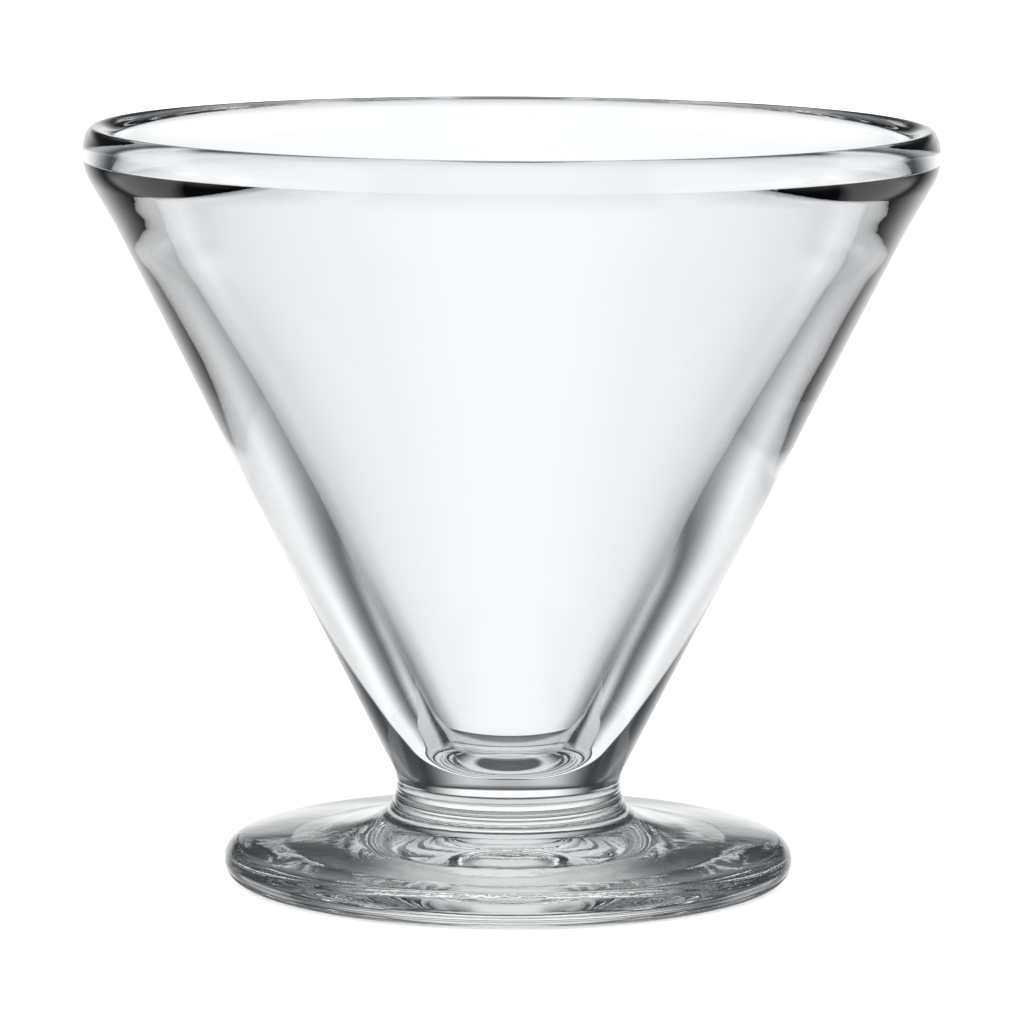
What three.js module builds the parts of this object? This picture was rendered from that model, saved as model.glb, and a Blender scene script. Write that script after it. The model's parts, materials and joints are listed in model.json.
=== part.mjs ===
// Conical ice cream glass: a thick-walled bowl fused at its waist to a low trumpet-shaped foot.
// Millimetres, +Z up. The axis of the glass is Z and the foot rests on z = 0.
import * as THREE from "three";

// Overall
const HEIGHT = 91.8;
const RIM_DIAMETER = 103.6; // at the widest line of the rolled rim

// Rim: a rolled bead outside, a short upright collar inside
const RIM_BELLY_DROP = 3.1; // from the top down to the widest line
const RIM_CREST_INSET = 2.05; // from the widest line in to the top of the rim
const RIM_COLLAR_THICKNESS = 3.6; // from the widest line in to the upright inside
const RIM_INNER_ROUND = 1.8; // drop of the round from the top to the upright inside
const RIM_COLLAR_DEPTH = 3.4; // from the top down to where the upright inside ends
const RIM_COLLAR_BEND = 0.8; // radius where the upright inside turns into the flare
const RIM_BEAD_RADIUS = 6.4; // round below the widest line

// Bowl
const FLARE_DEPTH = 11.8; // the wall flares a little from this far below the top
const FLARE_OUTSIDE = 30; // degrees off the axis
const FLARE_INSIDE = 31.3; // degrees off the axis
const FLARE_BEND_LENGTH = 4; // the cone bends into the flare over this length on either side
const FLOOR_THICKNESS = 4.2; // glass between the waist and the floor of the bowl
const FLOOR_DIAMETER = 9.8; // flat of the floor
const FLOOR_CORNER_RADIUS = 3.1; // round between the floor and the inner cone

// Waist, where the bowl is fused to the foot
const WAIST_DIAMETER = 27.4;
const WAIST_HEIGHT = 11.4;
const WAIST_FILLET_RADIUS = 5;

// Foot
const FOOT_DIAMETER = 69.6;
const FOOT_EDGE_THICKNESS = 4.4; // rounded over its full thickness
const FOOT_SLOPE_AT_WAIST = 21; // degrees below the horizontal where the fillet ends
const FOOT_SLOPE_AT_EDGE = 10; // degrees below the horizontal where the edge round begins
const BEARING_RING_WIDTH = 6; // flat ring that touches the table
const HOLLOW_DEPTH = 1.6; // shallow hollow inside the bearing ring

// Facets
const AROUND = 84; // segments of a full turn
const RIM_STEPS = 6;
const BEND_STEPS = 3;
const FILLET_STEPS = 6;
const CONE_STEPS = 4;
const FOOT_TOP_STEPS = 8;
const FOOT_EDGE_STEPS = 9;
const HOLLOW_STEPS = 5;

const { degToRad, lerp, radToDeg } = THREE.MathUtils;

// Points of an arc from one angle to another, in degrees, in the plane of radius and height.
function arc(centre, across, upright, from, to, steps) {
  const points = [];
  for (let i = 0; i <= steps; i++) {
    const angle = degToRad(lerp(from, to, i / steps));
    points.push(new THREE.Vector2(across * Math.cos(angle), upright * Math.sin(angle)).add(centre));
  }
  return points;
}

// Points between two ends of a straight flank, without the ends.
function between(start, end, steps) {
  const points = [];
  for (let i = 1; i < steps; i++) {
    points.push(start.clone().lerp(end, i / steps));
  }
  return points;
}

// Angle, in degrees, at which a straight line through a point touches a round. side picks the line.
function touch(centre, radius, point, side) {
  const across = point.clone().sub(centre);
  const bearing = Math.atan2(across.y, across.x);
  return radToDeg(bearing + side * Math.acos(radius / across.length()));
}

// Foot of a flare that runs down and in from a point, at a given height.
function flareFoot(start, offAxis, height) {
  return new THREE.Vector2(start.x - (start.y - height) * Math.tan(degToRad(offAxis)), height);
}

// Points of a gentle bend in place of the corner between two straight flanks.
function gentleBend(before, corner, after) {
  const start = before.clone().sub(corner).setLength(FLARE_BEND_LENGTH).add(corner);
  const end = after.clone().sub(corner).setLength(FLARE_BEND_LENGTH).add(corner);
  return new THREE.QuadraticBezierCurve(start, corner, end).getPoints(BEND_STEPS);
}

const waistRadius = WAIST_DIAMETER / 2;
const filletCentre = new THREE.Vector2(waistRadius + WAIST_FILLET_RADIUS, WAIST_HEIGHT);

// Section of the bowl, from the axis at the waist up the outside and down the inside to the floor.
function bowlProfile() {
  const rimRadius = RIM_DIAMETER / 2;
  const crest = rimRadius - RIM_CREST_INSET;
  const inside = rimRadius - RIM_COLLAR_THICKNESS;
  const widest = HEIGHT - RIM_BELLY_DROP;
  const flareHeight = HEIGHT - FLARE_DEPTH;
  const floorHeight = WAIST_HEIGHT + FLOOR_THICKNESS;

  // Outside: cone from the waist, flare, bead and the round up to the crest.
  const bead = arc(
    new THREE.Vector2(rimRadius - RIM_BEAD_RADIUS, widest),
    RIM_BEAD_RADIUS, RIM_BEAD_RADIUS, -FLARE_OUTSIDE, 0, RIM_STEPS,
  );
  const outerFlare = flareFoot(bead[0], FLARE_OUTSIDE, flareHeight);
  const outerTouch = touch(filletCentre, WAIST_FILLET_RADIUS, outerFlare, 1);
  const fillet = arc(filletCentre, WAIST_FILLET_RADIUS, WAIST_FILLET_RADIUS, 180, outerTouch, FILLET_STEPS);
  const outerBend = gentleBend(fillet.at(-1), outerFlare, bead[0]);
  const outerRound = arc(
    new THREE.Vector2(crest, widest), RIM_CREST_INSET, RIM_BELLY_DROP, 0, 90, RIM_STEPS,
  );

  // Inside: round down to the upright collar, bend, flare and cone to the floor.
  const innerRound = arc(
    new THREE.Vector2(crest, HEIGHT - RIM_INNER_ROUND),
    crest - inside, RIM_INNER_ROUND, 90, 180, RIM_STEPS,
  );
  const collarBend = arc(
    new THREE.Vector2(inside - RIM_COLLAR_BEND, HEIGHT - RIM_COLLAR_DEPTH),
    RIM_COLLAR_BEND, RIM_COLLAR_BEND, 0, -FLARE_INSIDE, BEND_STEPS,
  );
  const innerFlare = flareFoot(collarBend.at(-1), FLARE_INSIDE, flareHeight);
  const cornerCentre = new THREE.Vector2(FLOOR_DIAMETER / 2, floorHeight + FLOOR_CORNER_RADIUS);
  const innerTouch = touch(cornerCentre, FLOOR_CORNER_RADIUS, innerFlare, -1);
  const corner = arc(cornerCentre, FLOOR_CORNER_RADIUS, FLOOR_CORNER_RADIUS, innerTouch, -90, FILLET_STEPS);
  const innerBend = gentleBend(collarBend.at(-1), innerFlare, corner[0]);

  return [
    new THREE.Vector2(0, WAIST_HEIGHT),
    ...fillet,
    ...between(fillet.at(-1), outerBend[0], CONE_STEPS),
    ...outerBend,
    ...bead,
    ...outerRound.slice(1),
    ...innerRound.slice(1),
    ...collarBend,
    ...innerBend,
    ...between(innerBend.at(-1), corner[0], CONE_STEPS),
    ...corner,
    new THREE.Vector2(0, floorHeight),
  ];
}

// Section of the foot, from the axis under the hollow out round the edge and up to the waist.
function footProfile() {
  const edgeRadius = FOOT_EDGE_THICKNESS / 2;
  const edgeCentre = new THREE.Vector2(FOOT_DIAMETER / 2 - edgeRadius, edgeRadius);
  const edge = arc(edgeCentre, edgeRadius, edgeRadius, -90, 90 - FOOT_SLOPE_AT_EDGE, FOOT_EDGE_STEPS);
  const fillet = arc(
    filletCentre, WAIST_FILLET_RADIUS, WAIST_FILLET_RADIUS, 270 - FOOT_SLOPE_AT_WAIST, 180, FILLET_STEPS,
  );

  // The hollow is a shallow cap of one sphere, inside the bearing ring.
  const hollowRadius = edgeCentre.x - BEARING_RING_WIDTH;
  const capRadius = (hollowRadius ** 2 + HOLLOW_DEPTH ** 2) / (2 * HOLLOW_DEPTH);
  const capHalfAngle = radToDeg(Math.asin(hollowRadius / capRadius));
  const capCentre = new THREE.Vector2(0, HOLLOW_DEPTH - capRadius);
  const hollow = arc(capCentre, capRadius, capRadius, 90, 90 - capHalfAngle, HOLLOW_STEPS);
  hollow[0].set(0, HOLLOW_DEPTH);
  hollow.at(-1).set(hollowRadius, 0);

  // The top sweeps from the edge up to the waist fillet, tangent to both.
  const reach = edge.at(-1).distanceTo(fillet[0]) / 3;
  const axis = new THREE.Vector2();
  const inward = new THREE.Vector2(-reach, 0).rotateAround(axis, -degToRad(FOOT_SLOPE_AT_EDGE));
  const outward = new THREE.Vector2(reach, 0).rotateAround(axis, -degToRad(FOOT_SLOPE_AT_WAIST));
  const top = new THREE.CubicBezierCurve(
    edge.at(-1),
    edge.at(-1).clone().add(inward),
    fillet[0].clone().add(outward),
    fillet[0],
  ).getPoints(FOOT_TOP_STEPS);

  return [
    ...hollow,
    ...edge,
    ...top.slice(1, -1),
    ...fillet,
    new THREE.Vector2(0, WAIST_HEIGHT),
  ];
}

// One piece turned from its section about the Z axis.
function turned(name, profile, material) {
  const geometry = new THREE.LatheGeometry(profile, AROUND).rotateX(Math.PI / 2);
  const mesh = new THREE.Mesh(geometry, material);
  mesh.name = name;
  return mesh;
}

// Clear colourless soda-lime glass.
const glass = new THREE.MeshStandardMaterial({
  name: "clear_glass",
  color: "#eef3f4",
  roughness: 0.03,
  metalness: 0,
  transparent: true,
  opacity: 0.35,
});

const iceCreamGlass = new THREE.Group();
iceCreamGlass.name = "ice_cream_glass";
iceCreamGlass.add(
  turned("bowl", bowlProfile(), glass),
  turned("foot", footProfile(), glass),
);

export default iceCreamGlass;
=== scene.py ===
"""Looks of a conical ice cream glass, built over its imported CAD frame.

The bowl and the foot are turned from their sections by one Geometry Nodes tree, dressed in clear
pressed glass and set on white paper in a bright studio.
"""

import json
import logging
import math
from dataclasses import dataclass, field
from enum import Enum
from typing import Any

import bpy
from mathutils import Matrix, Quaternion, Vector

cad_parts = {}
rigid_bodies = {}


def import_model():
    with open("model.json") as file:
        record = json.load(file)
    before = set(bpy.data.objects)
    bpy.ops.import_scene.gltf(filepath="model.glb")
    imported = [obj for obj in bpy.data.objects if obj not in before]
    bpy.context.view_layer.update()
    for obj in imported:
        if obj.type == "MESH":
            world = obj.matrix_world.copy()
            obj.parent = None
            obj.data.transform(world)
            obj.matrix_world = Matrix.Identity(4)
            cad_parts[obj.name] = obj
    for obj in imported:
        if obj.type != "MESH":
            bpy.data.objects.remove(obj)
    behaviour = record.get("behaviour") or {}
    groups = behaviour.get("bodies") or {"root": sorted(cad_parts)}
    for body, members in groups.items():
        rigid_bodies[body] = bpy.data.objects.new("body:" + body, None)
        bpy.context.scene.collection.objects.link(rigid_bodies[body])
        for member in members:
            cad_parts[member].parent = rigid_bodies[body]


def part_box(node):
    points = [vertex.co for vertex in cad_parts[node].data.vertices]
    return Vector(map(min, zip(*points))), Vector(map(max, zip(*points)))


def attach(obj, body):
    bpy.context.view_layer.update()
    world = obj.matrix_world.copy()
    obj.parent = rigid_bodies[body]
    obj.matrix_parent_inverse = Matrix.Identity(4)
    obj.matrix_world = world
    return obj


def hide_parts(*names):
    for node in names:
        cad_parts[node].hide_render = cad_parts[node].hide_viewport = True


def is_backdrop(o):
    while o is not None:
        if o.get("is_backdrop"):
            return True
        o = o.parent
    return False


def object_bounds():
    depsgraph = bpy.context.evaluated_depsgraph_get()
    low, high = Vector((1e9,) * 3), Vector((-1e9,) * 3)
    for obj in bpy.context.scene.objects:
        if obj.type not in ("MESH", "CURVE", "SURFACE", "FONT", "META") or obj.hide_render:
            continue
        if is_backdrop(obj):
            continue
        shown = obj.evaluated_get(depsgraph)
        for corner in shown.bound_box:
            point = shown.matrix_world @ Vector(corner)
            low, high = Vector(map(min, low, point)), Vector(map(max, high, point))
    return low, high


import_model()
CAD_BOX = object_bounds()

LOG = logging.getLogger("ice_cream_glass")
MM = 0.001
BODY = "root"
SAME_POINT = 1e-4  # millimetres under which two points of a section are one
WELD = 0.002  # millimetres under which turned points merge
CRISP_EDGE = 50.0  # degrees past which an edge is shaded sharp
WHOLLY_FUSED = 0.99  # share of the flat past which a face lies on it

Point = tuple[float, float]
Span = tuple[float, float]
Sockets = dict[str, bpy.types.NodeSocket]


def linear(colour: str) -> tuple[float, float, float, float]:
    """Turns an sRGB hex colour to linear light.

    Args:
        colour: Six hex digits after a number sign.

    Returns:
        Red, green, blue and an alpha of 1.
    """
    parts = [int(colour[i : i + 2], 16) / 255 for i in (1, 3, 5)]
    return (*(c / 12.92 if c <= 0.04045 else ((c + 0.055) / 1.055) ** 2.4 for c in parts), 1.0)


def add(
    tree: bpy.types.NodeTree, kind: str, settings: dict[str, Any], inputs: dict[Any, Any]
) -> bpy.types.Node:
    """Adds a node with its settings, values and links.

    Args:
        tree: The node tree that gets it.
        kind: The node's type.
        settings: Its properties by name.
        inputs: Values or output sockets, by the input's name or number.

    Returns:
        The new node.
    """
    node = tree.nodes.new(kind)
    for name, value in settings.items():
        setattr(node, name, value)
    for key, value in inputs.items():
        if isinstance(value, bpy.types.NodeSocket):
            tree.links.new(value, node.inputs[key])
        else:
            node.inputs[key].default_value = value
    return node


class Zone(Enum):
    """How much of the mould's ripple a stretch of a section carries."""

    POLISHED = 0.0
    WAVY = 0.35
    CHILLED = 1.0


@dataclass
class Section:
    """The outline that a piece is turned from, in millimetres of radius and height."""

    points: list[Point] = field(default_factory=list)
    ripple: list[float] = field(default_factory=list)
    fused: list[float] = field(default_factory=list)
    lean: list[float] = field(default_factory=list)

    def run(self, points: list[Point], zone: Zone, fused: bool = False, step: float = 1.0) -> None:
        """Carries the outline on through more points.

        Args:
            points: The corners to pass, in order.
            zone: How rippled the glass is along them.
            fused: True for the flat where the two pieces are one glass.
            step: The longest stretch without a point.
        """
        for point in points:
            start = self.points[-1] if self.points else point
            length = math.dist(start, point)
            if self.points and length < SAME_POINT:
                continue
            pieces = max(1, math.ceil(length / step))
            for i in range(1, pieces + 1):
                share = i / pieces
                self.points.append(tuple(a + (b - a) * share for a, b in zip(start, point)))
                self.ripple.append(zone.value)
                self.fused.append(float(fused))
                self.lean.append(0.0)

    def mesh(self, name: str) -> bpy.types.Mesh:
        """Draws the outline as a line of edges in the XZ plane.

        Args:
            name: The mesh's name.

        Returns:
            The mesh, with the ripple, the fused flat and the lean as attributes.
        """
        mesh = bpy.data.meshes.new(name)
        corners = [(radius * MM, 0.0, height * MM) for radius, height in self.points]
        mesh.from_pydata(corners, [(i, i + 1) for i in range(len(corners) - 1)], [])
        for label, values in (("ripple", self.ripple), ("fused", self.fused), ("lean", self.lean)):
            mesh.attributes.new(label, "FLOAT", "POINT").data.foreach_set("value", values)
        return mesh


def arc(centre: Point, across: float, upright: float, start: float, end: float, steps: int) -> list[Point]:
    """Points of an arc in the plane of radius and height.

    Args:
        centre: Its centre.
        across: Its half-axis along the radius.
        upright: Its half-axis along the height.
        start: Its first angle, in degrees.
        end: Its last angle, in degrees.
        steps: How many stretches it has.

    Returns:
        The points, both ends among them.
    """
    angles = [math.radians(start + (end - start) * i / steps) for i in range(steps + 1)]
    return [(centre[0] + across * math.cos(a), centre[1] + upright * math.sin(a)) for a in angles]


def weighted(points: tuple[Point, ...], weights: tuple[float, ...]) -> Point:
    """A point between others.

    Args:
        points: The points.
        weights: The share of each.

    Returns:
        Their weighted sum.
    """
    radius, height = (sum(w * p[k] for w, p in zip(weights, points)) for k in (0, 1))
    return (radius, height)


def gentle_bend(before: Point, corner: Point, after: Point, length: float, steps: int) -> list[Point]:
    """A soft bend in place of the corner between two straight flanks.

    Args:
        before: A point on the first flank.
        corner: Where the flanks meet.
        after: A point on the second flank.
        length: How much of either flank the bend takes.
        steps: How many stretches it has.

    Returns:
        The bend's points.
    """
    ends = []
    for point in (before, after):
        share = length / math.dist(point, corner)
        ends.append(tuple(c + (p - c) * share for p, c in zip(point, corner)))
    points = []
    for i in range(steps + 1):
        t = i / steps
        weights = ((1 - t) ** 2, 2 * t * (1 - t), t * t)
        points.append(weighted((ends[0], corner, ends[1]), weights))
    return points


def smooth_wall(points: list[Point], step: float) -> list[Point]:
    """A smooth line through points of a wall, without waves between them.

    Args:
        points: Radius and height of each point, from the top down.
        step: The longest stretch of the line.

    Returns:
        The line's points.
    """
    drops = [b[1] - a[1] for a, b in zip(points, points[1:])]
    slopes = [(b[0] - a[0]) / drop for a, b, drop in zip(points, points[1:], drops)]
    leans = [slopes[0]]
    for i in range(1, len(slopes)):
        before, after = 2 * drops[i] + drops[i - 1], drops[i] + 2 * drops[i - 1]
        leans.append((before + after) / (before / slopes[i - 1] + after / slopes[i]))
    leans.append(slopes[-1])
    line = []
    for i, drop in enumerate(drops):
        steps = math.ceil(math.dist(points[i], points[i + 1]) / step)
        for k in range(steps):
            t = k / steps
            line.append((
                points[i][0] * (1 + 2 * t) * (1 - t) ** 2
                + points[i + 1][0] * t * t * (3 - 2 * t)
                + drop * t * (1 - t) * (leans[i] * (1 - t) - leans[i + 1] * t),
                points[i][1] + drop * t,
            ))
    return [*line, points[-1]]


def touch(centre: Point, radius: float, point: Point, side: int) -> float:
    """The angle at which a straight line through a point touches a round.

    Args:
        centre: The round's centre.
        radius: The round's radius.
        point: The point that the line goes through.
        side: +1 or -1, for one line or the other.

    Returns:
        The angle, in degrees.
    """
    along, up = point[0] - centre[0], point[1] - centre[1]
    return math.degrees(math.atan2(up, along) + side * math.acos(radius / math.hypot(along, up)))


@dataclass(frozen=True)
class Waist:
    """Where the bowl is fused to the foot, in millimetres."""

    radius: float = 13.7
    height: float = 11.4
    fillet: float = 5.0

    @property
    def centre(self) -> Point:
        """Centre of the fillet's round."""
        return (self.radius + self.fillet, self.height)


class TurningTree:
    """Geometry Nodes that turn a section about the Z axis and ripple the glass."""

    def __init__(self) -> None:
        """Builds the tree with its named inputs."""
        self.tree = bpy.data.node_groups.new("Turned glass", "GeometryNodeTree")
        self.ids: dict[str, str] = {}
        for name, kind in (
            ("Section", "NodeSocketGeometry"),
            ("Segments", "NodeSocketInt"),
            ("Ripple Height", "NodeSocketFloat"),
            ("Ripple Width", "NodeSocketFloat"),
            ("Seed", "NodeSocketFloat"),
            ("Glass", "NodeSocketMaterial"),
            ("Fused Glass", "NodeSocketMaterial"),
        ):
            socket = self.tree.interface.new_socket(name, in_out="INPUT", socket_type=kind)
            self.ids[name] = socket.identifier
        self.tree.interface.new_socket("Piece", in_out="OUTPUT", socket_type="NodeSocketGeometry")
        self._build()

    def _build(self) -> None:
        """Joins the stages: the section is wrapped round the axis, rippled and dressed."""
        given = {socket.name: socket for socket in add(self.tree, "NodeGroupInput", {}, {}).outputs}
        shape = self._dress(given, self._ripple(given, self._wrap(given)))
        add(self.tree, "NodeGroupOutput", {}, {0: shape})

    def _wrap(self, given: Sockets) -> bpy.types.NodeSocket:
        """Wraps a grid round the axis, with a row for each point of the section.

        Args:
            given: The tree's inputs by name.

        Returns:
            The turned shape, which carries the section's attributes.
        """
        tree = self.tree
        count = add(tree, "GeometryNodeAttributeDomainSize", {"component": "MESH"}, {0: given["Section"]})
        rows, segments = count.outputs[0], given["Segments"]
        columns = add(tree, "ShaderNodeMath", {"operation": "ADD"}, {0: segments, 1: 1.0})
        grid = add(
            tree, "GeometryNodeMeshGrid", {}, {"Vertices X": columns.outputs[0], "Vertices Y": rows}
        )
        number = add(tree, "GeometryNodeInputIndex", {}, {}).outputs[0]
        row = add(tree, "ShaderNodeMath", {"operation": "MODULO"}, {0: number, 1: rows})
        turn = add(tree, "ShaderNodeMath", {"operation": "DIVIDE"}, {0: number, 1: rows})
        turn = add(tree, "ShaderNodeMath", {"operation": "FLOOR"}, {0: turn.outputs[0]})
        turn = add(tree, "ShaderNodeMath", {"operation": "DIVIDE"}, {0: turn.outputs[0], 1: segments})
        turn = add(tree, "ShaderNodeMath", {"operation": "MULTIPLY"}, {0: turn.outputs[0], 1: math.tau})

        place = add(tree, "GeometryNodeInputPosition", {}, {})
        corner = add(
            tree,
            "GeometryNodeSampleIndex",
            {"data_type": "FLOAT_VECTOR", "domain": "POINT"},
            {"Geometry": given["Section"], "Value": place.outputs[0], "Index": row.outputs[0]},
        )
        turned = add(
            tree,
            "ShaderNodeVectorRotate",
            {"rotation_type": "Z_AXIS"},
            {"Vector": corner.outputs[0], "Angle": turn.outputs[0]},
        )
        shape = add(
            tree, "GeometryNodeSetPosition", {}, {"Geometry": grid.outputs[0], "Position": turned.outputs[0]}
        ).outputs[0]
        for label in ("ripple", "fused", "lean"):
            kept = add(tree, "GeometryNodeInputNamedAttribute", {"data_type": "FLOAT"}, {"Name": label})
            value = add(
                tree,
                "GeometryNodeSampleIndex",
                {"data_type": "FLOAT", "domain": "POINT"},
                {"Geometry": given["Section"], "Value": kept.outputs[0], "Index": row.outputs[0]},
            )
            shape = add(
                tree,
                "GeometryNodeStoreNamedAttribute",
                {"data_type": "FLOAT", "domain": "POINT"},
                {"Geometry": shape, "Name": label, "Value": value.outputs[0]},
            ).outputs[0]
        lean = add(tree, "GeometryNodeInputNamedAttribute", {"data_type": "FLOAT"}, {"Name": "lean"})
        aside = add(tree, "ShaderNodeMath", {"operation": "MULTIPLY"}, {0: lean.outputs[0], 1: MM})
        aside = add(tree, "ShaderNodeCombineXYZ", {}, {"X": aside.outputs[0]})
        shape = add(
            tree, "GeometryNodeSetPosition", {}, {"Geometry": shape, "Offset": aside.outputs[0]}
        ).outputs[0]
        # The last column meets the first, and each end on the axis becomes one point.
        return add(
            tree, "GeometryNodeMergeByDistance", {}, {"Geometry": shape, "Distance": WELD * MM}
        ).outputs[0]

    def _ripple(self, given: Sockets, shape: bpy.types.NodeSocket) -> bpy.types.NodeSocket:
        """Moves the glass in and out by the ripples that the mould leaves.

        Args:
            given: The tree's inputs by name.
            shape: The turned shape.

        Returns:
            The rippled shape.
        """
        tree = self.tree
        place = add(tree, "GeometryNodeInputPosition", {}, {})
        pitch = add(tree, "ShaderNodeMath", {"operation": "DIVIDE"}, {0: 1.0, 1: given["Ripple Width"]})
        noise = add(
            tree,
            "ShaderNodeTexNoise",
            {"noise_dimensions": "4D"},
            {"Vector": place.outputs[0], "W": given["Seed"], "Scale": pitch.outputs[0], "Detail": 2.0},
        )
        swell = add(tree, "ShaderNodeMath", {"operation": "SUBTRACT"}, {0: noise.outputs[0], 1: 0.5})
        weight = add(tree, "GeometryNodeInputNamedAttribute", {"data_type": "FLOAT"}, {"Name": "ripple"})
        swell = add(
            tree, "ShaderNodeMath", {"operation": "MULTIPLY"}, {0: swell.outputs[0], 1: weight.outputs[0]}
        )
        swell = add(
            tree,
            "ShaderNodeMath",
            {"operation": "MULTIPLY"},
            {0: swell.outputs[0], 1: given["Ripple Height"]},
        )
        normal = add(tree, "GeometryNodeInputNormal", {}, {})
        push = add(
            tree,
            "ShaderNodeVectorMath",
            {"operation": "SCALE"},
            {0: normal.outputs[0], "Scale": swell.outputs[0]},
        )
        return add(
            tree, "GeometryNodeSetPosition", {}, {"Geometry": shape, "Offset": push.outputs[0]}
        ).outputs[0]

    def _dress(self, given: Sockets, shape: bpy.types.NodeSocket) -> bpy.types.NodeSocket:
        """Shades the shape smooth between its sharp edges, and gives it its glass.

        Args:
            given: The tree's inputs by name.
            shape: The rippled shape.

        Returns:
            The finished piece.
        """
        tree = self.tree
        shape = add(
            tree, "GeometryNodeSetShadeSmooth", {"domain": "FACE"}, {0: shape, "Shade Smooth": True}
        ).outputs[0]
        angle = add(tree, "GeometryNodeInputMeshEdgeAngle", {}, {})
        crisp = add(
            tree,
            "FunctionNodeCompare",
            {"data_type": "FLOAT", "operation": "GREATER_THAN"},
            {0: angle.outputs["Unsigned Angle"], 1: math.radians(CRISP_EDGE)},
        )
        shape = add(
            tree,
            "GeometryNodeSetShadeSmooth",
            {"domain": "EDGE"},
            {0: shape, "Selection": crisp.outputs[0], "Shade Smooth": False},
        ).outputs[0]

        shape = add(tree, "GeometryNodeRealizeInstances", {}, {0: shape}).outputs[0]
        shape = add(
            tree, "GeometryNodeSetMaterial", {}, {"Geometry": shape, "Material": given["Glass"]}
        ).outputs[0]
        flat = add(tree, "GeometryNodeInputNamedAttribute", {"data_type": "FLOAT"}, {"Name": "fused"})
        flat = add(
            tree, "GeometryNodeFieldOnDomain", {"data_type": "FLOAT", "domain": "FACE"}, {0: flat.outputs[0]}
        )
        flat = add(
            tree,
            "FunctionNodeCompare",
            {"data_type": "FLOAT", "operation": "GREATER_THAN"},
            {0: flat.outputs[0], 1: WHOLLY_FUSED},
        )
        return add(
            tree,
            "GeometryNodeSetMaterial",
            {},
            {"Geometry": shape, "Selection": flat.outputs[0], "Material": given["Fused Glass"]},
        ).outputs[0]

    def turn(self, name: str, section: Section, inputs: dict[str, Any]) -> bpy.types.Object:
        """Turns one piece and keeps the result as a plain mesh.

        Args:
            name: The piece's name.
            section: The outline to turn.
            inputs: The tree's inputs by name.

        Returns:
            The finished piece, at the origin.
        """
        piece = bpy.data.objects.new(name, section.mesh(name + "_section"))
        bpy.context.scene.collection.objects.link(piece)
        modifier = piece.modifiers.new("Turned", "NODES")
        modifier.node_group = self.tree
        for label, value in inputs.items():
            modifier[self.ids[label]] = value
        graph = bpy.context.evaluated_depsgraph_get()
        mesh = bpy.data.meshes.new_from_object(piece.evaluated_get(graph), depsgraph=graph)
        mesh.name = name
        piece.modifiers.remove(modifier)
        piece.data = mesh
        return piece


@dataclass(frozen=True)
class PressedGlass:
    """Clear soda-lime glass, pressed in a mould.

    It is colourless and bends what is behind it, so the eye reads it by its dark and bright edges.
    The cold mould leaves faint ripples, which flaming the bowl nearly melts away.
    """

    name: str
    colour: str
    ior: float
    roughness: float
    ripple_width: float
    ripple_height: float
    ripple_detail: float = 2.0

    def material(self) -> bpy.types.Material:
        """Makes the glass.

        Returns:
            The material, rippled by a bump on Object coordinates.
        """
        material = bpy.data.materials.new(self.name)
        material.use_nodes = True
        tree = material.node_tree
        tree.nodes.clear()
        place = add(tree, "ShaderNodeTexCoord", {}, {})
        fine = add(
            tree,
            "ShaderNodeTexNoise",
            {},
            {
                "Vector": place.outputs["Object"],
                "Scale": 1 / (self.ripple_width * MM),
                "Detail": self.ripple_detail,
            },
        )
        bump = add(
            tree,
            "ShaderNodeBump",
            {},
            {"Strength": 1.0, "Distance": self.ripple_height * MM, "Height": fine.outputs[0]},
        )
        glass = add(
            tree,
            "ShaderNodeBsdfPrincipled",
            {},
            {
                "Base Color": linear(self.colour),
                "Roughness": self.roughness,
                "IOR": self.ior,
                "Transmission Weight": 1.0,
                "Normal": bump.outputs[0],
            },
        )
        add(tree, "ShaderNodeOutputMaterial", {}, {"Surface": glass.outputs[0]})
        return material


@dataclass(frozen=True)
class FusedJoin:
    """The flat where bowl and foot melted into one glass, which leaves nothing to see."""

    name: str = "fused_soda_lime_glass"
    ior: float = 1.52

    def material(self) -> bpy.types.Material:
        """Makes the join, fully clear.

        Returns:
            The material.
        """
        material = bpy.data.materials.new(self.name)
        material.use_nodes = True
        tree = material.node_tree
        tree.nodes.clear()
        clear = add(tree, "ShaderNodeBsdfPrincipled", {}, {"IOR": self.ior, "Alpha": 0.0})
        add(tree, "ShaderNodeOutputMaterial", {}, {"Surface": clear.outputs[0]})
        return material


@dataclass(frozen=True)
class Paper:
    """Matt white background paper, with a faint cloudy formation."""

    name: str = "white_paper"
    light: str = "#f4f4f4"
    shade: str = "#f1f1f1"
    cloud: float = 40.0
    cloud_detail: float = 3.0
    roughness: float = 0.9

    def material(self) -> bpy.types.Material:
        """Makes the paper.

        Returns:
            The material.
        """
        material = bpy.data.materials.new(self.name)
        material.use_nodes = True
        tree = material.node_tree
        tree.nodes.clear()
        place = add(tree, "ShaderNodeTexCoord", {}, {})
        cloud = add(
            tree,
            "ShaderNodeTexNoise",
            {},
            {
                "Vector": place.outputs["Object"],
                "Scale": 1 / (self.cloud * MM),
                "Detail": self.cloud_detail,
            },
        )
        tone = add(
            tree,
            "ShaderNodeMix",
            {"data_type": "RGBA"},
            {0: cloud.outputs[0], 6: linear(self.light), 7: linear(self.shade)},
        )
        paper = add(
            tree,
            "ShaderNodeBsdfPrincipled",
            {},
            {"Base Color": tone.outputs[2], "Roughness": self.roughness, "Specular IOR Level": 0.0},
        )
        add(tree, "ShaderNodeOutputMaterial", {}, {"Surface": paper.outputs[0]})
        return material


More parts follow.
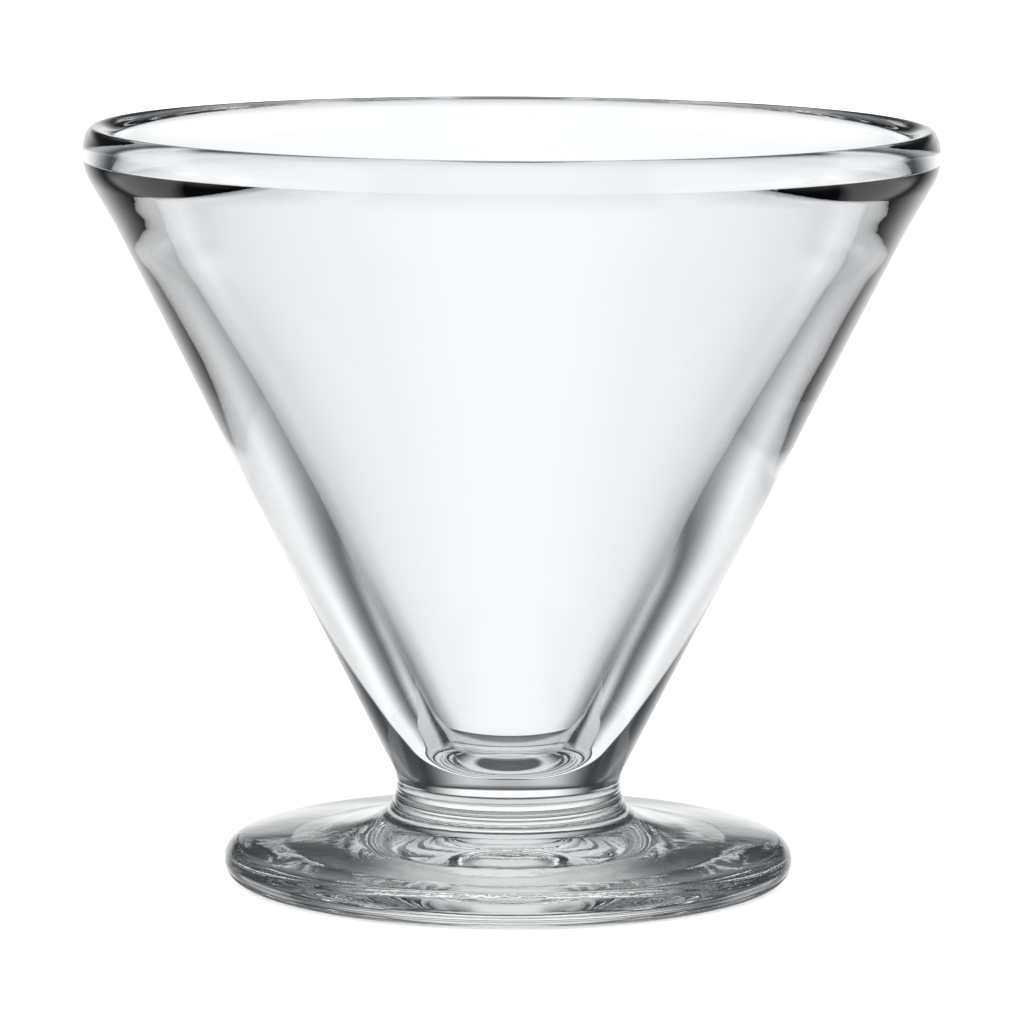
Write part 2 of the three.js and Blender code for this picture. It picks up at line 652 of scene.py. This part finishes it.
POLISHED = PressedGlass(
    name="fire_polished_soda_lime_glass",
    colour="#fcfdfe",
    ior=1.52,
    roughness=0.0,
    ripple_width=9.0,
    ripple_height=0.002,
)
CHILLED = PressedGlass(
    name="chill_marked_soda_lime_glass",
    colour="#f9fbfa",
    ior=1.52,
    roughness=0.0,
    ripple_width=1.6,
    ripple_height=0.008,
)


@dataclass(frozen=True)
class Swell:
    """A slight thickening that pressing leaves in the wall, in millimetres."""

    height: float
    rise: float
    below: float = 15.0
    above: float = 18.0

    def at(self, height: float) -> float:
        """How far the wall stands out at a height.

        Args:
            height: The height on the wall.

        Returns:
            The swell there, which fades to nothing below and above.
        """
        away = height - self.height
        share = min(1.0, abs(away) / (self.above if away > 0 else self.below))
        return self.rise * math.cos(share * math.pi / 2) ** 2


@dataclass
class Bowl:
    """The conical bowl with its rolled rim, in millimetres."""

    waist: Waist = field(default_factory=Waist)
    height: float = 91.8
    rim_radius: float = 51.8
    belly_drop: float = 3.1
    crest_inset: float = 1.3
    collar: float = 3.6
    inner_round: float = 1.5
    collar_depth: float = 3.7
    collar_bend: float = 0.3
    bead: float = 6.886
    flare_outside: float = 30.28
    flare_outside_depth: float = 11.35
    flare_bend: float = 1.22
    flare_inside: float = 33.7
    flare_inside_depth: float = 10.3
    # The wall thins upwards, which catches light in it: dark strips along the flanks, wedges under the rim.
    inner_wall: tuple[Point, ...] = ((41.32, 77.0), (29.5, 57.0), (22.45, 45.0), (14.12, 30.0), (9.8, 22.0))
    left_swell: Swell = Swell(height=51.0, rise=0.1)
    right_swell: Swell = Swell(height=46.0, rise=0.25)
    floor: float = 3.9
    floor_radius: float = 1.68
    floor_corner: float = 7.3
    segments: int = 384
    row_height: float = 1.4
    round_steps: int = 16
    bead_steps: int = 14
    bend_steps: int = 8
    fillet_steps: int = 20
    seed: float = 3.0
    finish: PressedGlass = POLISHED

    def _flare_foot(self, start: Point, off_axis: float, depth: float) -> Point:
        """Where a flare that runs down and in from a point meets the cone.

        Args:
            start: The flare's upper end.
            off_axis: Its angle off the axis, in degrees.
            depth: How far below the top it ends.

        Returns:
            The flare's lower end.
        """
        low = self.height - depth
        return (start[0] - (start[1] - low) * math.tan(math.radians(off_axis)), low)

    def section(self) -> Section:
        """The bowl's outline, from the axis at the waist up the outside and down the inside.

        Returns:
            The section.
        """
        crest = self.rim_radius - self.crest_inset
        inside = self.rim_radius - self.collar
        widest = self.height - self.belly_drop
        floor = self.waist.height + self.floor

        bead = arc(
            (self.rim_radius - self.bead, widest),
            self.bead,
            self.bead,
            -self.flare_outside,
            0,
            self.bead_steps,
        )
        outer = self._flare_foot(bead[0], self.flare_outside, self.flare_outside_depth)
        round_size = self.waist.fillet
        low = touch(self.waist.centre, round_size, outer, 1)
        fillet = arc(self.waist.centre, round_size, round_size, 180, low, self.fillet_steps)
        outer_bend = gentle_bend(fillet[-1], outer, bead[0], self.flare_bend, self.round_steps)
        outer_round = arc((crest, widest), self.crest_inset, self.belly_drop, 0, 90, self.round_steps)
        inner_round = arc(
            (crest, self.height - self.inner_round),
            crest - inside,
            self.inner_round,
            90,
            180,
            self.bead_steps,
        )
        bend = arc(
            (inside - self.collar_bend, self.height - self.collar_depth),
            self.collar_bend,
            self.collar_bend,
            0,
            -self.flare_inside,
            self.bend_steps,
        )
        flare = self._flare_foot(bend[-1], self.flare_inside, self.flare_inside_depth)
        wall = smooth_wall([bend[-1], flare, *self.inner_wall], self.row_height)
        centre = (self.floor_radius, floor + self.floor_corner)
        start = touch(centre, self.floor_corner, wall[-1], -1)
        corner = arc(centre, self.floor_corner, self.floor_corner, start, -90, self.round_steps)

        section = Section()
        waist = self.waist.height
        section.run([(0.0, waist), (self.waist.radius, waist)], Zone.POLISHED, fused=True)
        section.run([*fillet, *outer_bend, *bead], Zone.POLISHED, step=self.row_height)
        self._swell(section)
        inner = [*outer_round, *inner_round, *bend, *wall, *corner, (0.0, floor)]
        section.run(inner, Zone.POLISHED, step=self.row_height)
        return section

    def _swell(self, section: Section) -> None:
        """Thickens the outside of the wall a little, not quite alike on the left and the right.

        Args:
            section: The outline so far, up to the bead.
        """
        for i, (radius, height) in enumerate(section.points):
            left, right = self.left_swell.at(height), self.right_swell.at(height)
            section.points[i] = (radius + (left + right) / 2, height)
            section.lean[i] = (right - left) / 2

    def build(self, tree: TurningTree, join: bpy.types.Material) -> bpy.types.Object:
        """Turns and dresses the bowl.

        Args:
            tree: The tree that turns it.
            join: The material of the fused flat.

        Returns:
            The piece, riding on the frame.
        """
        piece = tree.turn(
            "bowl_glass",
            self.section(),
            {
                "Segments": self.segments,
                "Ripple Height": 0.0,
                "Ripple Width": self.finish.ripple_width * MM,
                "Seed": self.seed,
                "Glass": self.finish.material(),
                "Fused Glass": join,
            },
        )
        return seat(piece, "bowl")


@dataclass
class Foot:
    """The low trumpet foot, in millimetres."""

    waist: Waist = field(default_factory=Waist)
    radius: float = 34.8
    edge: float = 2.2
    slope_at_waist: float = 21.0
    slope_at_edge: float = 10.0
    ring: float = 6.0
    hollow: float = 1.6
    ripple_height: float = 0.05
    ripple_width: float = 6.0
    segments: int = 384
    round_steps: int = 24
    top_steps: int = 32
    seed: float = 7.0
    finish: PressedGlass = CHILLED

    def section(self) -> Section:
        """The foot's outline, from the axis under the hollow out round the edge and up to the waist.

        Returns:
            The section.
        """
        centre = (self.radius - self.edge, self.edge)
        edge = arc(centre, self.edge, self.edge, -90, 90 - self.slope_at_edge, self.round_steps)
        round_size, start = self.waist.fillet, 270 - self.slope_at_waist
        fillet = arc(self.waist.centre, round_size, round_size, start, 180, self.round_steps)
        reach = centre[0] - self.ring
        cap = (reach**2 + self.hollow**2) / (2 * self.hollow)
        half = math.degrees(math.asin(reach / cap))
        hollow = arc((0.0, self.hollow - cap), cap, cap, 90, 90 - half, self.round_steps)
        hollow[0], hollow[-1] = (0.0, self.hollow), (reach, 0.0)

        section = Section()
        section.run(hollow, Zone.WAVY)
        section.run(edge, Zone.CHILLED)
        section.run(self._top(edge[-1], fillet[0]), Zone.CHILLED)
        section.run(fillet, Zone.POLISHED)
        rim_of_flat = len(section.points) - 1
        section.run([(0.0, self.waist.height)], Zone.POLISHED, fused=True)
        section.fused[rim_of_flat] = 1.0
        return section

    def _top(self, start: Point, end: Point) -> list[Point]:
        """The sweep of the top, tangent to the edge and to the waist's fillet.

        Args:
            start: Where it leaves the edge.
            end: Where it meets the fillet.

        Returns:
            Its points.
        """
        reach = math.dist(start, end) / 3
        low, high = math.radians(self.slope_at_edge), math.radians(self.slope_at_waist)
        first = (start[0] - reach * math.cos(low), start[1] + reach * math.sin(low))
        second = (end[0] + reach * math.cos(high), end[1] - reach * math.sin(high))
        points = []
        for i in range(self.top_steps + 1):
            t = i / self.top_steps
            weights = ((1 - t) ** 3, 3 * t * (1 - t) ** 2, 3 * t * t * (1 - t), t**3)
            points.append(weighted((start, first, second, end), weights))
        return points

    def build(self, tree: TurningTree, join: bpy.types.Material) -> bpy.types.Object:
        """Turns and dresses the foot.

        Args:
            tree: The tree that turns it.
            join: The material of the fused flat.

        Returns:
            The piece, riding on the frame.
        """
        piece = tree.turn(
            "foot_glass",
            self.section(),
            {
                "Segments": self.segments,
                "Ripple Height": self.ripple_height * MM,
                "Ripple Width": self.ripple_width * MM,
                "Seed": self.seed,
                "Glass": self.finish.material(),
                "Fused Glass": join,
            },
        )
        return seat(piece, "foot")


def seat(piece: bpy.types.Object, node: str) -> bpy.types.Object:
    """Puts a finished piece on the frame in place of its CAD node.

    Args:
        piece: The finished piece.
        node: The CAD node that it stands for.

    Returns:
        The same piece.
    """
    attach(piece, BODY)
    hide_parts(node)
    piece.data.calc_loop_triangles()
    low, high = (Vector(c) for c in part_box(node))
    LOG.info(
        "%s: %d triangles, for %s of %.1f mm",
        piece.name,
        len(piece.data.loop_triangles),
        node,
        (high - low).z / MM,
    )
    return piece


@dataclass(frozen=True)
class Sheet:
    """A bright sheet that bends round the glass from below, behind and over it.

    Its light is given by the angle round the X axis, in degrees: 0 is behind the glass, 90 over it and
    -90 under it. Sideways it is full at the first angle and gone at the second, so a sheet whose first
    angle is the larger one stands at the sides.
    """

    light: tuple[Span, ...]
    sideways: Span


# The white sweep under and behind the glass, which fills the bowl.
LOW_SHEET = Sheet(
    light=(
        (-180.0, 0.1), (-150.0, 0.1), (-128.0, 0.5), (-110.0, 0.7), (-62.0, 0.68), (-40.0, 0.84),
        (-25.0, 1.0), (-17.0, 1.05), (5.0, 1.06), (8.0, 0.4), (11.5, 0.0),
    ),
    sideways=(14.0, 38.0),
)
# The sheet overhead. The dark gap between it and the sweep draws the edges of the rim and the foot.
HIGH_SHEET = Sheet(
    light=(
        (12.0, 0.0), (19.0, 0.08), (26.0, 0.74), (80.0, 0.76), (95.0, 0.42), (115.0, 0.13),
        (140.0, 0.25), (180.0, 0.33),
    ),
    sideways=(8.0, 34.0),
)
# Low panels at the corners of the studio.
SIDE_FILL = Sheet(
    light=(
        (-180.0, 0.0), (-176.0, 0.1), (-170.0, 0.95), (-145.0, 0.95), (-132.0, 0.0), (-62.0, 0.0),
        (-50.0, 0.95), (-20.0, 0.95), (-11.0, 0.0), (180.0, 0.0),
    ),
    sideways=(42.0, 34.0),
)
# A panel square to the glass on either side.
SIDE_GLOW = Sheet(light=((-180.0, 0.85), (180.0, 0.85)), sideways=(82.0, 68.0))


@dataclass
class Studio:
    """Bright sheets behind, under and over the glass, dim sides, white paper, a glowing disc of painted
    light and shade under the foot, and the camera.
    """

    sheets: tuple[Sheet, ...] = (LOW_SHEET, HIGH_SHEET, SIDE_FILL, SIDE_GLOW)
    dim: str = "#363c40"
    backdrop_light: float = 1.15
    paper_light: float = 2.2
    white: str = "#ffffff"
    covered: float = 35.0
    covered_corners: int = 64
    # Painted light and shadow on the glowing disc under the foot, in millimetres: lit middle and back,
    # painted shadow at the far rim and under the stem, and the lit and shaded colours.
    painted_lit_middle: Span = (9.0, 19.0)
    painted_lit_behind: Span = (1.0, 6.0)
    painted_rim_shadow: Span = (20.0, 27.0)
    painted_stem_shadow: Span = (9.0, 12.0)
    painted_stem_shadow_forward: float = 4.0
    painted_light_colour: str = "#e0e2e2"
    painted_shade_colour: str = "#4c5258"
    floor_size: float = 4000.0
    floor_drop: float = 0.05
    target_height: float = 44.8
    distance: float = 764.3
    elevation: float = 7.93
    roll: float = 0.291
    focal_pixels: float = 6277.7
    shift_pixels: float = 2.1
    frame_pixels: int = 1024
    sensor: float = 36.0
    clip: Span = (0.01, 100.0)
    glass_bounces: int = 32
    mirror_bounces: int = 16

    def light(self) -> None:
        """Makes the surroundings that the glass bends and mirrors."""
        world = bpy.data.worlds.new("studio")
        bpy.context.scene.world = world
        world.use_nodes = True
        tree = world.node_tree
        tree.nodes.clear()
        way = add(tree, "ShaderNodeTexCoord", {}, {})
        way = add(tree, "ShaderNodeVectorMath", {"operation": "NORMALIZE"}, {0: way.outputs["Generated"]})
        x, y, z = add(tree, "ShaderNodeSeparateXYZ", {}, {0: way.outputs[0]}).outputs
        side = add(tree, "ShaderNodeMath", {"operation": "ABSOLUTE"}, {0: x})
        side = add(tree, "ShaderNodeMath", {"operation": "ARCSINE"}, {0: side.outputs[0]})
        side = add(tree, "ShaderNodeMath", {"operation": "DEGREES"}, {0: side.outputs[0]})
        over = add(tree, "ShaderNodeMath", {"operation": "ARCTAN2"}, {0: z, 1: y})
        over = add(tree, "ShaderNodeMath", {"operation": "DEGREES"}, {0: over.outputs[0]})

        total = None
        for sheet in self.sheets:
            light = self._sheet_light(tree, sheet, side.outputs[0], over.outputs[0])
            if total is not None:
                light = add(tree, "ShaderNodeMath", {"operation": "ADD"}, {0: total, 1: light}).outputs[0]
            total = light
        around = add(
            tree,
            "ShaderNodeMix",
            {"data_type": "RGBA", "blend_type": "ADD"},
            {0: 1.0, 6: linear(self.dim), 7: total},
        )
        seen = add(tree, "ShaderNodeBackground", {}, {"Color": around.outputs[2]})
        backdrop, glow = (
            add(tree, "ShaderNodeBackground", {}, {"Color": linear(self.white), "Strength": strength})
            for strength in (self.backdrop_light, self.paper_light)
        )
        ray = add(tree, "ShaderNodeLightPath", {}, {})
        from_paper = add(
            tree, "ShaderNodeMath", {"operation": "GREATER_THAN"}, {0: ray.outputs["Diffuse Depth"], 1: 0.5}
        )
        shown = add(
            tree,
            "ShaderNodeMixShader",
            {},
            {0: ray.outputs["Is Camera Ray"], 1: seen.outputs[0], 2: backdrop.outputs[0]},
        )
        shown = add(
            tree,
            "ShaderNodeMixShader",
            {},
            {0: from_paper.outputs[0], 1: shown.outputs[0], 2: glow.outputs[0]},
        )
        add(tree, "ShaderNodeOutputWorld", {}, {"Surface": shown.outputs[0]})

    def _sheet_light(
        self, tree: bpy.types.NodeTree, sheet: Sheet, side: bpy.types.NodeSocket, over: bpy.types.NodeSocket
    ) -> bpy.types.NodeSocket:
        """Works out how bright a sheet is in the direction that is looked at.

        Args:
            tree: The world's nodes.
            sheet: The sheet.
            side: How far the direction points to a side, in degrees.
            over: Its angle round the X axis, in degrees.

        Returns:
            The light.
        """
        angle = add(tree, "ShaderNodeMapRange", {}, {0: over, 1: -180.0, 2: 180.0, 3: 0.0, 4: 1.0})
        ramp = add(tree, "ShaderNodeValToRGB", {}, {0: angle.outputs[0]})
        stops = ramp.color_ramp.elements
        while len(stops) < len(sheet.light):
            stops.new(1.0)
        for stop, (turn, light) in zip(stops, sheet.light):
            stop.position = (turn + 180) / 360
            stop.color = (light, light, light, 1.0)
        full, gone = sheet.sideways
        near, far = (1.0, 0.0) if full < gone else (0.0, 1.0)
        fade = add(
            tree,
            "ShaderNodeMapRange",
            {"interpolation_type": "SMOOTHSTEP"},
            {0: side, 1: min(full, gone), 2: max(full, gone), 3: near, 4: far},
        )
        return add(
            tree, "ShaderNodeMath", {"operation": "MULTIPLY"}, {0: ramp.outputs[0], 1: fade.outputs[0]}
        ).outputs[0]

    def floor(self) -> None:
        """Lays the white paper. The glass sees the studio's light in its place."""
        half, low = self.floor_size / 2 * MM, -self.floor_drop * MM
        mesh = bpy.data.meshes.new("paper_floor")
        corners = [(-half, -half, low), (half, -half, low), (half, half, low), (-half, half, low)]
        mesh.from_pydata(corners, [], [(0, 1, 2, 3)])
        mesh.materials.append(Paper().material())
        paper = bpy.data.objects.new("paper_floor", mesh)
        bpy.context.scene.collection.objects.link(paper)
        paper.visible_transmission = paper.visible_glossy = False
        paper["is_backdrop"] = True

    def under_foot(self) -> None:
        """Lays a glowing disc under the foot that only the glass sees, with painted light on its middle and
        back and painted shade on its sides.
        """
        last = 360 - 360 / self.covered_corners
        corners = arc((0.0, 0.0), self.covered, self.covered, 0, last, self.covered_corners - 1)
        low = -self.floor_drop / 2 * MM
        mesh = bpy.data.meshes.new("painted_light_under_foot")
        mesh.from_pydata([(x * MM, y * MM, low) for x, y in corners], [], [tuple(range(len(corners)))])
        mesh.materials.append(self._painted_light_material())
        paper = bpy.data.objects.new("painted_light_under_foot", mesh)
        bpy.context.scene.collection.objects.link(paper)
        paper.visible_camera = paper.visible_diffuse = paper.visible_shadow = False
        paper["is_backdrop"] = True

    def _painted_light_material(self) -> bpy.types.Material:
        """Makes the disc's painted light and shade, which stand in for the light that comes through the
        glass onto the paper.

        Returns:
            The material.
        """
        material = bpy.data.materials.new("painted_light_and_shade_under_foot")
        material.use_nodes = True
        tree = material.node_tree
        tree.nodes.clear()
        place = add(tree, "ShaderNodeTexCoord", {}, {}).outputs["Object"]
        split = add(tree, "ShaderNodeSeparateXYZ", {}, {0: place})
        away = add(tree, "ShaderNodeMath", {"operation": "ABSOLUTE"}, {0: split.outputs[0]})
        reach = add(
            tree,
            "ShaderNodeVectorMath",
            {"operation": "DISTANCE"},
            {0: place, 1: (0.0, -self.painted_stem_shadow_forward * MM, 0.0)},
        )
        # Masks of painted light in the middle and at the back, and of painted shadow at the far rim and
        # under the stem.
        middle, behind, inside, clear = (
            add(
                tree,
                "ShaderNodeMapRange",
                {"interpolation_type": "SMOOTHSTEP"},
                {0: distance, 1: span[0] * MM, 2: span[1] * MM, 3: near, 4: 1.0 - near},
            ).outputs[0]
            for distance, span, near in (
                (away.outputs[0], self.painted_lit_middle, 1.0),
                (split.outputs[1], self.painted_lit_behind, 0.0),
                (split.outputs[1], self.painted_rim_shadow, 1.0),
                (reach.outputs["Value"], self.painted_stem_shadow, 0.0),
            )
        )
        lit = add(tree, "ShaderNodeMath", {"operation": "MAXIMUM"}, {0: middle, 1: behind})
        lit = add(tree, "ShaderNodeMath", {"operation": "MULTIPLY"}, {0: lit.outputs[0], 1: inside})
        lit = add(tree, "ShaderNodeMath", {"operation": "MULTIPLY"}, {0: lit.outputs[0], 1: clear})
        tone = add(
            tree,
            "ShaderNodeMix",
            {"data_type": "RGBA"},
            {0: lit.outputs[0], 6: linear(self.painted_shade_colour), 7: linear(self.painted_light_colour)},
        )
        # The disc glows with this painted light and shade, though it is no lamp.
        glow = add(tree, "ShaderNodeEmission", {}, {"Color": tone.outputs[2]})
        add(tree, "ShaderNodeOutputMaterial", {}, {"Surface": glow.outputs[0]})
        return material

    def camera(self) -> None:
        """Stands the camera where the photograph was taken from."""
        data = bpy.data.cameras.new("camera")
        camera = bpy.data.objects.new("camera", data)
        bpy.context.scene.collection.objects.link(camera)
        tilt = math.radians(self.elevation)
        back = Vector((0.0, -math.cos(tilt), math.sin(tilt)))
        camera.location = Vector((0.0, 0.0, self.target_height * MM)) + back * self.distance * MM
        camera.rotation_mode = "QUATERNION"
        camera.rotation_quaternion = (-back).to_track_quat("-Z", "Y") @ Quaternion(
            (0.0, 0.0, 1.0), math.radians(self.roll)
        )
        data.sensor_width = self.sensor
        data.lens = self.sensor * self.focal_pixels / self.frame_pixels
        data.shift_x = self.shift_pixels / self.frame_pixels
        data.clip_start, data.clip_end = self.clip
        bpy.context.scene.camera = camera

    def light_paths(self) -> None:
        """Lets light pass as many glass surfaces as the thick walls need."""
        scene = bpy.context.scene
        scene.view_settings.view_transform = "Standard"
        scene.cycles.max_bounces = scene.cycles.transmission_bounces = self.glass_bounces
        scene.cycles.glossy_bounces = self.mirror_bounces
        scene.cycles.transparent_max_bounces = self.glass_bounces


def write_sizes() -> None:
    """Writes the CAD box and the visual model's box, in metres."""
    boxes = {"cad": CAD_BOX, "visual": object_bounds()}
    boxes = {name: [list(corner) for corner in box] for name, box in boxes.items()}
    LOG.info("boxes: %s", boxes)


def main() -> None:
    """Builds the glass, its studio and its camera."""
    logging.basicConfig(level=logging.INFO, format="%(name)s: %(message)s")
    tree = TurningTree()
    join = FusedJoin().material()
    Bowl().build(tree, join)
    Foot().build(tree, join)
    studio = Studio()
    studio.light()
    studio.floor()
    studio.under_foot()
    studio.camera()
    studio.light_paths()
    write_sizes()


if __name__ == "__main__":
    main()
